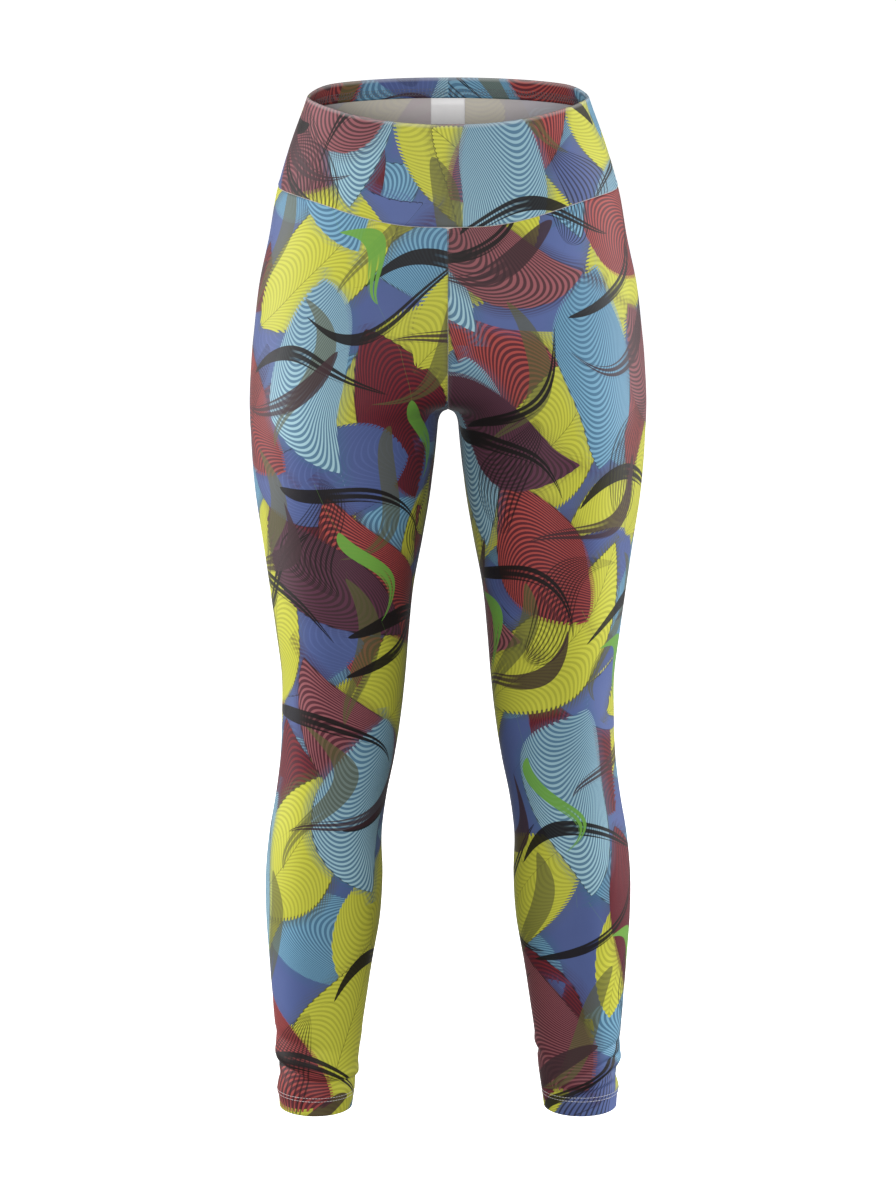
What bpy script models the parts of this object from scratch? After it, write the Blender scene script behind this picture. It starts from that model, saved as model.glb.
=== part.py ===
"""High-waisted leggings, worn and hollow: a waistband, two one-piece legs and a care label.

Metres, +Z up, the front faces -Y and the wearer's left is +X. The origin is the middle of the
waist opening, where the garment is held. Every cloth wall follows one set of level sections of
a general figure; the two legs are mirror images apart from the creases at their ankles.
"""

import math

import bmesh
import bpy
import numpy as np

MM = 0.001

# Cloth and construction
WALL = 1.5 * MM  # one layer of knit
TURNED = 3.0 * MM  # the wall where a hem is turned in
SEAM_GAP = 0.3 * MM  # between pieces sewn to each other
EDGE_ROUND = 0.8 * MM  # a folded edge isn't square
WAIST_HEM = 20.0 * MM  # depth of the turned top edge
ANKLE_HEM = 21.0 * MM  # depth of the turned leg hem

# Heights, measured from the waist opening at the sides
SEAM_SIDE = -86.0 * MM  # waist seam at the sides and the back
SEAM_DIP = 22.0 * MM  # how far the waist seam drops to the centre front
SEAM_FADE = 90.0 * MM  # depth over which rows of the leg follow that drop
HEM = -1013.0 * MM  # bottom of the leg

# The top edge: level with the origin at the sides but for a little, lower in front, higher behind
RIM_SIDE = 1.0 * MM
RIM_DIP = 13.0 * MM
RIM_RISE = 5.0 * MM

# Level sections in millimetres, top to bottom.  Each is an oval for one half of the garment:
#   outer    side edge, from the centre plane
#   centre   where the oval is deepest, front to back
#   inner    edge beside the other leg; below zero the two halves are one torso
#   front, back, widest   places across the depth
#   bridge   how far from the centre plane the cloth starts to span from leg to leg
SECTIONS = (
    # height, outer, centre, inner, front, back, widest, bridge
    (15, 130.0, 0.0, -130.0, -90, 92, 0, 40),
    (0, 134.5, 0.0, -134.5, -91, 93, 0, 40),
    (-45, 150.5, 0.0, -150.5, -98, 101, 0, 40),
    (-90, 163.5, 1.0, -163.0, -104, 113, 2, 46),
    (-135, 171.5, 10.0, -165.0, -107, 123, 4, 64),
    (-180, 181.0, 28.0, -148.0, -107, 131, 6, 82),
    (-225, 186.5, 52.0, -108.0, -105, 133, 7, 94),
    (-245, 188.6, 64.0, -80.0, -103, 131, 8, 93),
    (-265, 190.0, 76.0, -48.0, -101, 128, 8, 84),
    (-280, 190.9, 84.0, -24.0, -100, 125, 8, 62),
    (-288, 191.2, 88.0, -11.5, -99.3, 122.5, 8, 42),
    (-293.8, 191.4, 90.9, -2.3, -98.7, 120.7, 8, 28.5),
    (-298.6, 191.4, 93.2, 3.2, -98.2, 119.2, 8, 20),
    (-303.3, 191.3, 95.2, 5.65, -97.7, 117.6, 7.6, 15.05),
    (-307.4, 191.2, 96.5, 7.4, -97.3, 116.2, 7.2, 13.3),
    (-312.6, 191.1, 97.7, 8.9, -96.8, 114.5, 6.8, 12.2),
    (-325, 190.4, 99.4, 10.2, -96, 110.5, 6, 12),
    (-340, 189.7, 100.4, 11.6, -95, 106, 5, 12),
    (-385, 186.0, 101.5, 17.1, -93, 95, 3, 12),
    (-430, 179.3, 102.0, 24.8, -90, 87, 0, 12),
    (-475, 173.0, 103.0, 33.2, -86, 79, -2, 12),
    (-520, 167.0, 102.4, 37.8, -79, 71, -3, 12),
    (-565, 161.8, 101.7, 41.4, -68, 65, -1, 12),
    (-605, 161.8, 103.7, 45.6, -60, 62, 2, 12),
    (-650, 163.8, 108.1, 52.4, -52, 66, 8, 12),
    (-690, 168.8, 114.5, 60.2, -46, 75, 14, 12),
    (-730, 175.4, 120.1, 64.9, -41, 84, 20, 12),
    (-775, 179.5, 121.9, 64.3, -36, 88, 24, 12),
    (-815, 179.3, 123.0, 66.8, -31, 84, 26, 12),
    (-860, 176.4, 125.4, 74.4, -25, 76, 26, 12),
    (-905, 173.3, 127.2, 81.2, -18, 70, 26, 12),
    (-940, 170.6, 128.4, 86.2, -13, 67, 27, 12),
    (-975, 168.8, 129.4, 90.0, -11, 67, 28, 12),
    (-1020, 167.2, 131.7, 96.2, -11, 68, 29, 12),
)

# Creases of the cloth above the hems.  Each is a line around the leg,
# height + slant * sin(angle), with the angle 0 in front, 90 outside and 180 behind; it stands
# out by `push` at its middle angle and fades over `spread` degrees.  It is `above` and `below`
# high on its two sides, so that a small one of the two makes a lip.
FOLD_COLUMNS = ("leg", "height", "slant", "middle", "spread", "above", "below", "push")
FOLDS = (
    ("right", -966, 10, 0, 150, 9.0, 6.0, 2.4),
    ("right", -979, 12, 50, 45, 3.2, 8.0, -3.2),
    ("right", -979.5, 2, 325, 55, 3.0, 7.0, -3.2),
    ("right", -978, 0, 100, 32, 5.0, 5.0, -1.9),
    ("right", -967, 0, 335, 40, 4.0, 3.0, -0.9),
    ("right", -995, 0, 88, 48, 7.0, 6.0, 1.7),
    ("right", -943, 8, 40, 70, 6.0, 6.0, -1.5),
    ("right", -948, -9, 200, 60, 9.0, 9.0, 2.2),
    ("right", -972, -8, 185, 60, 6.0, 7.0, -2.2),
    ("left", -993, 21, 52, 34, 3.2, 7.0, -3.4),
    ("left", -979, 0, 98, 24, 4.0, 6.0, -2.4),
    ("left", -998, 22, 35, 40, 4.0, 4.0, 1.3),
    ("left", -994, 10, 25, 38, 3.5, 5.0, -2.0),
    ("left", -981, 18, 50, 40, 5.0, 4.0, 1.6),
    ("left", -972, 15, 50, 38, 4.0, 6.0, -2.0),
    ("left", -961, 18, 48, 36, 5.0, 6.0, -1.5),
    ("left", -961, 0, 98, 35, 9.0, 7.0, 2.2),
    ("left", -994, 0, 98, 30, 6.0, 6.0, 1.6),
    ("left", -986, 2, 338, 34, 5.0, 8.0, -2.0),
    ("left", -948, -4, 262, 42, 6.0, 5.0, 1.3),
    ("left", -959, -5, 258, 44, 4.0, 4.0, -1.8),
    ("left", -962, 10, 170, 60, 9.0, 9.0, 2.2),
    ("left", -982, 14, 175, 60, 6.0, 8.0, -2.2),
)

# Rows of the mesh: the heights of the leg's rings from the waist seam to the hem.
ROWS_OF_HIP = (-86, -108, -132, -158, -184, -210, -234)
CROTCH_STEPS_ABOVE = 7  # rings between the hip rows and the crotch point, closing up on it
ROWS_BELOW_CROTCH = (1.0, 4.0, 9.0, 17.0, 30.0)  # under the crotch point
ROWS_OF_LEG = (-362, -396, -430, -464, -498, -530, -562, -592, -622, -652, -682, -712, -742,
               -772, -802, -832, -862, -890, -912, -926)
ANKLE_ROW_STEP = 4.5 * MM
LEG_COLUMNS = 24  # around one leg
BAND_COLUMNS = 26  # around half of the waistband
BAND_ROWS = 5

# Care label, hanging from the turned edge inside the centre back
LABEL_WIDTH = 33.0 * MM
LABEL_LENGTH = 48.0 * MM
LABEL_WALL = 1.0 * MM
LABEL_COLUMNS = 6
LABEL_ROWS = 6

# Finishes: colour, roughness
PRINTED_KNIT = ((0.33, 0.36, 0.24), 0.62)
LABEL_SATIN = ((0.86, 0.86, 0.85), 0.45)

BRIDGE_AT_CENTRE = 3.0 / 8.0  # the bridging curve's value on the centre plane
WIDEST_START = 1.68  # an oval's first angle at the waist, where its columns are even
CROWDING = 4.0  # how strongly columns crowd to the seam just above the crotch


def smooth_columns(rows):
    """Heights, values and Catmull-Rom slopes of a table whose first column falls."""
    table = np.array(rows, float)[::-1] * MM
    heights, values = table[:, 0], table[:, 1:]
    steps = np.diff(heights)[:, None]
    rises = np.diff(values, axis=0) / steps
    slopes = np.empty_like(values)
    slopes[0], slopes[-1] = rises[0], rises[-1]
    slopes[1:-1] = (rises[:-1] * steps[1:] + rises[1:] * steps[:-1]) / (steps[1:] + steps[:-1])
    return heights, values, slopes


HEIGHTS, VALUES, SLOPES = smooth_columns(SECTIONS)


def section(height):
    """The oval at a height: outer, centre, inner, front, back, widest and bridge."""
    i = int(np.clip(np.searchsorted(HEIGHTS, height) - 1, 0, len(HEIGHTS) - 2))
    span = HEIGHTS[i + 1] - HEIGHTS[i]
    t = (height - HEIGHTS[i]) / span
    return (
        VALUES[i] * (2 * t**3 - 3 * t**2 + 1)
        + VALUES[i + 1] * (3 * t**2 - 2 * t**3)
        + SLOPES[i] * span * (t**3 - 2 * t**2 + t)
        + SLOPES[i + 1] * span * (t**3 - t**2)
    )


def spread_from_centre(x, bridge):
    """|x|, but level and smooth where the cloth bridges from one leg to the other."""
    t = abs(x) / bridge
    return bridge * (3 + 6 * t**2 - t**4) / 8 if t < 1 else abs(x)


def place_across(spread, bridge):
    """The x that spread_from_centre turns into this spread."""
    if spread >= bridge:
        return spread
    inside = max(spread / bridge, BRIDGE_AT_CENTRE)
    return bridge * math.sqrt(max(3 - math.sqrt(12 - 8 * inside), 0))


def turn_of(u, start):
    """The oval's angle at u, between its first and last angles.

    Near the crotch the columns crowd only beside the seam, so rings above and below line up.
    """
    crowding = 1 + CROWDING * max(1 - start / WIDEST_START, 0)
    edge = start * abs(1 - 2 * u) ** crowding
    return 2 * math.pi * u + math.copysign(edge, 0.5 - u)


def skin(u, height):
    """A point of the outer surface of the +X half.

    u runs from the front edge, 0, round the outside to the back edge, 1.
    """
    outer, centre, inner, front, back, widest, bridge = section(height)
    start = math.acos(min((centre - BRIDGE_AT_CENTRE * bridge) / (centre - inner), 1))
    turn = turn_of(u, start)
    width = centre - inner if math.cos(turn) > 0 else outer - centre
    depth = widest - front if turn < math.pi else back - widest
    x = place_across(centre - width * math.cos(turn), bridge)
    return np.array([max(x, SEAM_GAP / 2), widest - depth * math.sin(turn), height])


def level_of(point):
    """Below one inside the figure, one on the cloth's outer surface, more outside."""
    outer, centre, inner, front, back, widest, bridge = section(point[2])
    across = spread_from_centre(point[0], bridge) - centre
    along = point[1] - widest
    width = outer - centre if across > 0 else centre - inner
    depth = widest - front if along < 0 else back - widest
    return (across / width) ** 2 + (along / depth) ** 2


def outward(point):
    """The unit normal of the outer surface."""
    step = 0.05 * MM
    slope = [level_of(point + shift) - level_of(point - shift) for shift in np.eye(3) * step]
    return np.array(slope) / np.linalg.norm(slope)


def crotch_height():
    """Where the inner edges of the two legs meet under the bridge."""
    low, high = -320 * MM, -290 * MM
    for _ in range(50):
        middle = (low + high) / 2
        _, _, inner, _, _, _, bridge = section(middle)
        apart = inner > BRIDGE_AT_CENTRE * bridge
        low, high = (middle, high) if apart else (low, middle)
    return high


def rim_height(u):
    forward = math.cos(math.pi * u)
    rise = min(max(-forward, 0) / 0.6, 1)
    return RIM_SIDE - RIM_DIP * max(forward, 0) ** 2.6 + RIM_RISE * rise**2 * (3 - 2 * rise)


def seam_height(u):
    return SEAM_SIDE - SEAM_DIP * max(math.cos(math.pi * u), 0) ** 4


def fold_push(leg, point):
    """How far the creases of a leg move this point of its surface outwards."""
    _, centre, _, _, _, widest, _ = section(point[2])
    angle = math.degrees(math.atan2(point[0] - centre, widest - point[1]))
    total = 0.0
    for row in FOLDS:
        fold = dict(zip(FOLD_COLUMNS, row))
        if fold["leg"] != leg:
            continue
        line = (fold["height"] + fold["slant"] * math.sin(math.radians(angle))) * MM
        around = (angle - fold["middle"] + 180) % 360 - 180
        width = fold["above"] if point[2] > line else fold["below"]
        near = math.exp(-(((point[2] - line) / (width * MM)) ** 2))
        total += fold["push"] * MM * near * math.exp(-((around / fold["spread"]) ** 2))
    return total


def wall_point(u, height, depth, leg=None):
    """A point of the wall, `depth` under the outer surface."""
    point = skin(u, height)
    normal = outward(point)
    push = fold_push(leg, point) if leg else 0.0
    moved = point + normal * (push - depth)
    if point[0] <= SEAM_GAP:
        moved[0] = point[0]  # a seam's edge stays in its own plane
    return moved


def new_object(name, finish, work):
    """Turns a bmesh with its faces closed into an object with its own material."""
    bmesh.ops.recalc_face_normals(work, faces=work.faces)
    mesh = bpy.data.meshes.new(name)
    work.to_mesh(mesh)
    work.free()
    mesh.shade_smooth()
    mesh.set_sharp_from_angle(angle=math.radians(50))
    mesh.materials.append(new_material(name, *finish))
    bpy.context.scene.collection.objects.link(bpy.data.objects.new(name, mesh))


def new_tube(name, finish, rings):
    """Makes a wall that runs ring by ring, along its outside and back along its inside.

    The last ring joins the first. Rings at the two ends of the list may be open at the front
    and back seams, with one point more than the closed ones; their ends are walled across.
    """
    work = bmesh.new()
    loops = [[work.verts.new(point) for point in ring] for ring in rings]
    columns = min(len(loop) for loop in loops)
    for a, b in zip(loops, loops[1:] + loops[:1]):
        for i in range(columns):
            work.faces.new([a[i], a[(i + 1) % len(a)], b[(i + 1) % len(b)], b[i]])
    for k, outside in enumerate(loops):
        if len(outside) == columns:
            break
        under_outside, under_inside, inside = loops[k + 1], loops[-2 - k], loops[-1 - k]
        for end in (0, columns):
            # both edges of an open ring lead to the first point of a closed one
            below = end % len(under_outside)
            work.faces.new([outside[end], under_outside[below], under_inside[below], inside[end]])
    new_object(name, finish, work)


def new_material(name, colour, roughness):
    material = bpy.data.materials.new(name)
    material.use_nodes = True
    shader = material.node_tree.nodes["Principled BSDF"]
    shader.inputs["Base Color"].default_value = (*colour, 1)
    shader.inputs["Roughness"].default_value = roughness
    shader.inputs["Metallic"].default_value = 0.0
    return material


def leg_heights():
    """Nominal heights of the leg's rings, and how many lie above the crotch point."""
    crotch = crotch_height()
    hip = [height * MM for height in ROWS_OF_HIP]
    closing = hip[-1] - crotch
    steps = CROTCH_STEPS_ABOVE + 1
    above = [crotch + closing * (1 - k / steps) ** 2 for k in range(1, steps)]
    under = [crotch - drop * MM for drop in ROWS_BELOW_CROTCH]
    leg = [height * MM for height in ROWS_OF_LEG]
    hem_top = HEM + ANKLE_HEM
    count = round((leg[-1] - hem_top) / ANKLE_ROW_STEP)
    ankle = [leg[-1] + (hem_top - leg[-1]) * k / count for k in range(1, count + 1)]
    return hip + above, [crotch] + under + leg + ankle


def leg(name, side, mirror):
    open_heights, closed_heights = leg_heights()
    hem_rows = [HEM + ANKLE_HEM * part for part in (2 / 3, 1 / 3)] + [HEM + EDGE_ROUND]

    def open_ring(height, depth):
        ring = []
        for i in range(LEG_COLUMNS + 1):
            u = i / LEG_COLUMNS
            fade = max(1 - (SEAM_SIDE - height) / SEAM_FADE, 0)
            dropped = height + (seam_height(u) - SEAM_SIDE) * fade - SEAM_GAP / 2 * fade
            ring.append(wall_point(u, dropped, depth, side))
        return ring

    def closed_ring(height, depth):
        return [wall_point(i / LEG_COLUMNS, height, depth, side) for i in range(LEG_COLUMNS)]

    crotch = closed_heights[0]
    outside = [(height, 0.0) for height in closed_heights + hem_rows]
    edge = [(HEM, EDGE_ROUND), (HEM, TURNED - EDGE_ROUND)]
    turned = [(height, TURNED) for height in hem_rows[::-1] + [HEM + ANKLE_HEM]]
    step = [(HEM + ANKLE_HEM + EDGE_ROUND, WALL)]
    inside = [(height, WALL) for height in closed_heights[:-1][::-1]]
    rings = [open_ring(height, 0.0) for height in open_heights]
    for height, depth in outside + edge + turned + step + inside:
        ring = closed_ring(height, depth)
        if height == crotch:
            ring[0] = skin(0, crotch) + np.array([0, 0, depth])  # the crotch point faces down
        rings.append(ring)
    rings += [open_ring(height, WALL) for height in open_heights[::-1]]
    rings = [[(point[0] * mirror, point[1], point[2]) for point in ring] for ring in rings]
    new_tube(name, PRINTED_KNIT, rings)


def waistband():
    """A closed tube: up the outside, over the folded top edge and down the inside."""

    def ring(part, inset, depth):
        """part = 0 at the waist seam and 1 at the top edge, inset from there if above zero."""
        right = []
        for i in range(BAND_COLUMNS + 1):
            u = i / BAND_COLUMNS
            low = seam_height(u) + SEAM_GAP / 2
            height = low + (rim_height(u) - low) * part - inset
            point = wall_point(u, height, depth)
            right.append((0.0 if i in (0, BAND_COLUMNS) else point[0], point[1], point[2]))
        left = [(-x, y, z) for x, y, z in right[-2:0:-1]]
        return right + left

    outside = [ring(k / BAND_ROWS, 0, 0.0) for k in range(BAND_ROWS)]
    outside.append(ring(1, EDGE_ROUND, 0.0))
    edge = [ring(1, 0, EDGE_ROUND), ring(1, 0, TURNED - EDGE_ROUND)]
    turned = [ring(1, inset, TURNED) for inset in (EDGE_ROUND, WAIST_HEM / 2, WAIST_HEM)]
    inside = [ring(1, WAIST_HEM + EDGE_ROUND, WALL)]
    inside += [ring(k / BAND_ROWS, 0, WALL) for k in range(BAND_ROWS - 2, -1, -1)]
    new_tube("waistband", PRINTED_KNIT, outside + edge + turned + inside)


def back_surface(x, height):
    """The place across the depth of the outer surface behind, at this x and height."""
    outer, centre, inner, _, back, widest, bridge = section(height)
    across = spread_from_centre(x, bridge) - centre
    width = outer - centre if across > 0 else centre - inner
    return widest + (back - widest) * math.sqrt(1 - (across / width) ** 2)


def care_label():
    """A strip that follows the band's inside, just under the turned edge."""
    top = rim_height(1.0) - WAIST_HEM - EDGE_ROUND - SEAM_GAP
    near = WALL + 2 * SEAM_GAP
    places = [LABEL_WIDTH * (k / LABEL_COLUMNS - 0.5) for k in range(LABEL_COLUMNS + 1)]

    def row(height, depth):
        return [(x, back_surface(x, height) - depth, height) for x in places]

    work = bmesh.new()
    loops = []
    for k in range(LABEL_ROWS + 1):
        height = top - LABEL_LENGTH * k / LABEL_ROWS
        ring = row(height, near) + row(height, near + LABEL_WALL)[::-1]
        loops.append([work.verts.new(point) for point in ring])
    size = len(loops[0])
    for a, b in zip(loops, loops[1:]):
        for i in range(size):
            work.faces.new([a[i], a[(i + 1) % size], b[(i + 1) % size], b[i]])
    for loop in (loops[0], loops[-1]):
        for i in range(LABEL_COLUMNS):
            work.faces.new([loop[i], loop[i + 1], loop[size - 2 - i], loop[size - 1 - i]])
    new_object("care_label", LABEL_SATIN, work)


def main():
    for thing in list(bpy.data.objects):
        bpy.data.objects.remove(thing, do_unlink=True)
    waistband()
    leg("leg_left", "left", 1)
    leg("leg_right", "right", -1)
    care_label()


main()
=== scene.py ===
import math

import bmesh
import bpy
import numpy as np
from mathutils import Matrix, Vector


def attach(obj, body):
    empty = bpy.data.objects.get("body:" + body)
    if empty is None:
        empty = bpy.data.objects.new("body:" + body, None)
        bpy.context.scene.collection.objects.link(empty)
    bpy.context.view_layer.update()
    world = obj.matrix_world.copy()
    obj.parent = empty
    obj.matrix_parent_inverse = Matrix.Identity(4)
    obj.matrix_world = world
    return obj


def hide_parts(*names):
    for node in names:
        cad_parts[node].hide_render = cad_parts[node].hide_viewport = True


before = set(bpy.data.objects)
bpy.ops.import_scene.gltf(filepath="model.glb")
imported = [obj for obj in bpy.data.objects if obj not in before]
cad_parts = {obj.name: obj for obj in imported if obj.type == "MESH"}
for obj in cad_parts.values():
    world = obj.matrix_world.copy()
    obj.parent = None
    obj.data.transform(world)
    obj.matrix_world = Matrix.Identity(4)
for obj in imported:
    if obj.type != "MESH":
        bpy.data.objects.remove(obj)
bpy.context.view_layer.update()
mm = 0.001


def intoScene(name, data):
    thing = bpy.data.objects.new(name, data)
    bpy.context.scene.collection.objects.link(thing)
    return thing


# The worn form. Level sections in millimetres, each an oval for one half of the garment:
# height, outer side, centre, inner side, front, back, depth where it is widest, and how far
# from the middle the oval is bridged over to the other half
figure = {
    "sections": (
        (15, 130, 0, -130, -90, 92, 0, 40),
        (0, 134.5, 0, -134.5, -91, 93, 0, 40),
        (-45, 150.5, 0, -150.5, -98, 101, 0, 40),
        (-90, 163.5, 1, -163, -104, 113, 2, 46),
        (-135, 171.5, 10, -165, -107, 123, 4, 64),
        (-180, 181, 28, -148, -107, 131, 6, 82),
        (-225, 186.5, 52, -108, -105, 133, 7, 94),
        (-245, 188.6, 64, -80, -103, 131, 8, 93),
        (-265, 190, 76, -48, -101, 128, 8, 84),
        (-280, 190.9, 84, -24, -100, 125, 8, 62),
        (-288, 191.2, 88, -11.5, -99.3, 122.5, 8, 42),
        (-293.8, 191.4, 90.9, -2.3, -98.7, 120.7, 8, 28.5),
        (-298.6, 191.4, 93.2, 3.2, -98.2, 119.2, 8, 20),
        (-303.3, 191.3, 95.2, 5.65, -97.7, 117.6, 7.6, 15.05),
        (-307.4, 191.2, 96.5, 7.4, -97.3, 116.2, 7.2, 13.3),
        (-312.6, 191.1, 97.7, 8.9, -96.8, 114.5, 6.8, 12.2),
        (-325, 190.4, 99.4, 10.2, -96, 110.5, 6, 12),
        (-340, 189.7, 100.4, 11.6, -95, 106, 5, 12),
        (-385, 186, 101.5, 17.1, -93, 95, 3, 12),
        (-430, 179.3, 102, 24.8, -90, 87, 0, 12),
        (-475, 173, 103, 33.2, -86, 79, -2, 12),
        (-520, 167, 102.4, 37.8, -79, 71, -3, 12),
        (-565, 161.8, 101.7, 41.4, -68, 65, -1, 12),
        (-605, 161.8, 103.7, 45.6, -60, 62, 2, 12),
        (-650, 163.8, 108.1, 52.4, -52, 66, 8, 12),
        (-690, 168.8, 114.5, 60.2, -46, 75, 14, 12),
        (-730, 175.4, 120.1, 64.9, -41, 84, 20, 12),
        (-775, 179.5, 121.9, 64.3, -36, 88, 24, 12),
        (-815, 179.3, 123, 66.8, -31, 84, 26, 12),
        (-860, 176.4, 125.4, 74.4, -25, 76, 26, 12),
        (-905, 173.3, 127.2, 81.2, -18, 70, 26, 12),
        (-940, 170.6, 128.4, 86.2, -13, 67, 27, 12),
        (-975, 168.8, 129.4, 90, -11, 67, 28, 12),
        (-1020, 167.2, 131.7, 96.2, -11, 68, 29, 12),
    ),
    "bridgeAtCentre": 3 / 8,
    "widestStart": 1.68,  # radians left open at the seams before columns crowd together
    "crowding": 4.0,
    "seamGap": 0.3 * mm,
    "seamSide": -86 * mm,  # height of the waist seam at the sides
    "seamDip": 22 * mm,  # how far it drops in front
    "seamPower": 4,  # how narrow that drop is
    "seamFade": 90 * mm,  # depth over which rows of the leg follow that drop
    "rimSide": 1 * mm,  # height of the top edge at the sides
    "rimDip": 13 * mm,  # how far it drops in front
    "rimPower": 2.6,
    "rimRise": 5 * mm,  # how far it rises behind
    "rimEase": 0.6,  # where the rise is complete, as a cosine
    "hem": -1013 * mm,
    "crotchSearch": (-320 * mm, -290 * mm),
    "probe": 0.05 * mm,  # step for the slope of the form
}


def smoothColumns(rows):
    table = np.array(rows, float)[::-1] * mm
    heights, values = table[:, 0], table[:, 1:]
    steps = np.diff(heights)[:, None]
    rises = np.diff(values, axis=0) / steps
    slopes = np.empty_like(values)
    slopes[0], slopes[-1] = rises[0], rises[-1]
    slopes[1:-1] = (rises[:-1] * steps[1:] + rises[1:] * steps[:-1]) / (steps[1:] + steps[:-1])
    return heights, values, slopes


heights, values, slopes = smoothColumns(figure["sections"])


def section(height):
    # outer, centre, inner, front, back, widest and bridge at each height
    i = np.clip(np.searchsorted(heights, height) - 1, 0, len(heights) - 2)
    span = (heights[i + 1] - heights[i])[..., None]
    t = (height - heights[i])[..., None] / span
    row = values[i] * (2 * t**3 - 3 * t**2 + 1) + values[i + 1] * (3 * t**2 - 2 * t**3)
    row = row + slopes[i] * span * (t**3 - 2 * t**2 + t) + slopes[i + 1] * span * (t**3 - t**2)
    return np.moveaxis(row, -1, 0)


def spreadFromCentre(x, bridge):
    t = np.abs(x) / bridge
    return np.where(t < 1, bridge * (3 + 6 * t**2 - t**4) / 8, np.abs(x))


def placeAcross(spread, bridge):
    inside = np.clip(spread / bridge, figure["bridgeAtCentre"], 1)
    under = np.maximum(3 - np.sqrt(12 - 8 * inside), 0)
    return np.where(spread >= bridge, spread, bridge * np.sqrt(under))


def skin(u, height):
    # the outer surface of the +X half: u is 0 at the front edge, 1 at the back edge
    outer, centre, inner, front, back, widest, bridge = section(height)
    reach = (centre - figure["bridgeAtCentre"] * bridge) / (centre - inner)
    start = np.arccos(np.minimum(reach, 1))
    crowd = 1 + figure["crowding"] * np.maximum(1 - start / figure["widestStart"], 0)
    turn = 2 * np.pi * u + np.copysign(start * np.abs(1 - 2 * u) ** crowd, 0.5 - u)
    width = np.where(np.cos(turn) > 0, centre - inner, outer - centre)
    depth = np.where(turn < np.pi, widest - front, back - widest)
    x = placeAcross(centre - width * np.cos(turn), bridge)
    x = np.maximum(x, figure["seamGap"] / 2)
    return np.stack([x, widest - depth * np.sin(turn), height], -1)


def levelOf(points):
    outer, centre, inner, front, back, widest, bridge = section(points[..., 2])
    across = spreadFromCentre(points[..., 0], bridge) - centre
    along = points[..., 1] - widest
    width = np.where(across > 0, outer - centre, centre - inner)
    depth = np.where(along < 0, widest - front, back - widest)
    return (across / width) ** 2 + (along / depth) ** 2


def outward(points):
    step = np.eye(3) * figure["probe"]
    slope = np.stack([levelOf(points + s) - levelOf(points - s) for s in step], -1)
    return slope / np.linalg.norm(slope, axis=-1, keepdims=True)


def crotchHeight():
    low, high = figure["crotchSearch"]
    for _ in range(50):
        middle = (low + high) / 2
        row = section(np.array(middle))
        apart = row[2] > figure["bridgeAtCentre"] * row[6]
        low, high = (middle, high) if apart else (low, middle)
    return high


def rimHeight(u):
    forward = np.cos(np.pi * u)
    rise = np.clip(-forward / figure["rimEase"], 0, 1)
    dip = figure["rimDip"] * np.maximum(forward, 0) ** figure["rimPower"]
    return figure["rimSide"] - dip + figure["rimRise"] * rise**2 * (3 - 2 * rise)


def seamHeight(u):
    forward = np.maximum(np.cos(np.pi * u), 0)
    return figure["seamSide"] - figure["seamDip"] * forward ** figure["seamPower"]


# Creases. Each runs round a leg at height + slant * sin(angle), with the angle 0 in front,
# 90 outside and 180 behind, and fades over spread degrees from its middle. Its two widths are
# above and below that line, so a small second one makes a lip. All in millimetres.
creases = {
    "right": (
        (-966, 10, 0, 150, 9, 6, 2.4),
        (-979, 12, 50, 45, 3.2, 8, -3.2),
        (-979.5, 2, 325, 55, 3, 7, -3.2),
        (-978, 0, 100, 32, 5, 5, -1.9),
        (-977.5, 12, 48, 38, 1.6, 3.4, -2.6),
        (-978, 2, 325, 48, 1.6, 3.2, -2.6),
        (-967, 0, 335, 40, 4, 3, -0.9),
        (-995, 0, 88, 48, 7, 6, 1.7),
        (-943, 8, 40, 70, 6, 6, -1.5),
        (-948, -9, 200, 60, 9, 9, 2.2),
        (-972, -8, 185, 60, 6, 7, -2.2),
    ),
    "left": (
        (-993, 21, 52, 34, 3.2, 7, -3.4),
        (-991.5, 21, 54, 30, 1.7, 3.4, -2.6),
        (-993, 10, 25, 32, 1.8, 3, -1.8),
        (-971, 15, 50, 32, 1.8, 3, -1.7),
        (-960, 18, 50, 30, 2.0, 3, -1.2),
        (-979, 0, 98, 24, 4, 6, -2.4),
        (-998, 22, 35, 40, 4, 4, 1.3),
        (-994, 10, 25, 38, 3.5, 5, -2.0),
        (-981, 18, 50, 40, 5, 4, 1.6),
        (-972, 15, 50, 38, 4, 6, -2.0),
        (-961, 18, 48, 36, 5, 6, -1.5),
        (-961, 0, 98, 35, 9, 7, 2.2),
        (-994, 0, 98, 30, 6, 6, 1.6),
        (-986, 2, 338, 34, 5, 8, -2.0),
        (-948, -4, 262, 42, 6, 5, 1.3),
        (-959, -5, 258, 44, 4, 4, -1.8),
        (-962, 10, 170, 60, 9, 9, 2.2),
        (-982, 14, 175, 60, 6, 8, -2.2),
    ),
    "both": (
        (-285, 46, -42, 26, 9, 7, -1.0),
        (-306, 40, -50, 24, 9, 7, -0.8),
        (-338, 30, -58, 26, 10, 8, -0.7),
        (-292, 30, 222, 26, 9, 7, -1.2),
        (-322, 24, 214, 30, 10, 8, -1.4),
        (-345, 18, 208, 32, 11, 9, 0.9),
        (-588, 9, 176, 44, 6, 8, -1.4),
        (-612, -8, 188, 50, 7, 7, -1.8),
        (-634, 7, 172, 46, 8, 6, -1.5),
        (-600, 2, 184, 50, 8, 8, 1.1),
        (-575, 8, -6, 42, 9, 9, -0.5),
        (-640, -7, 4, 44, 9, 9, -0.6),
        (-905, 8, 150, 60, 10, 9, -0.8),
        (-884, -7, 200, 55, 10, 9, -0.6),
    ),
}


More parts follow.
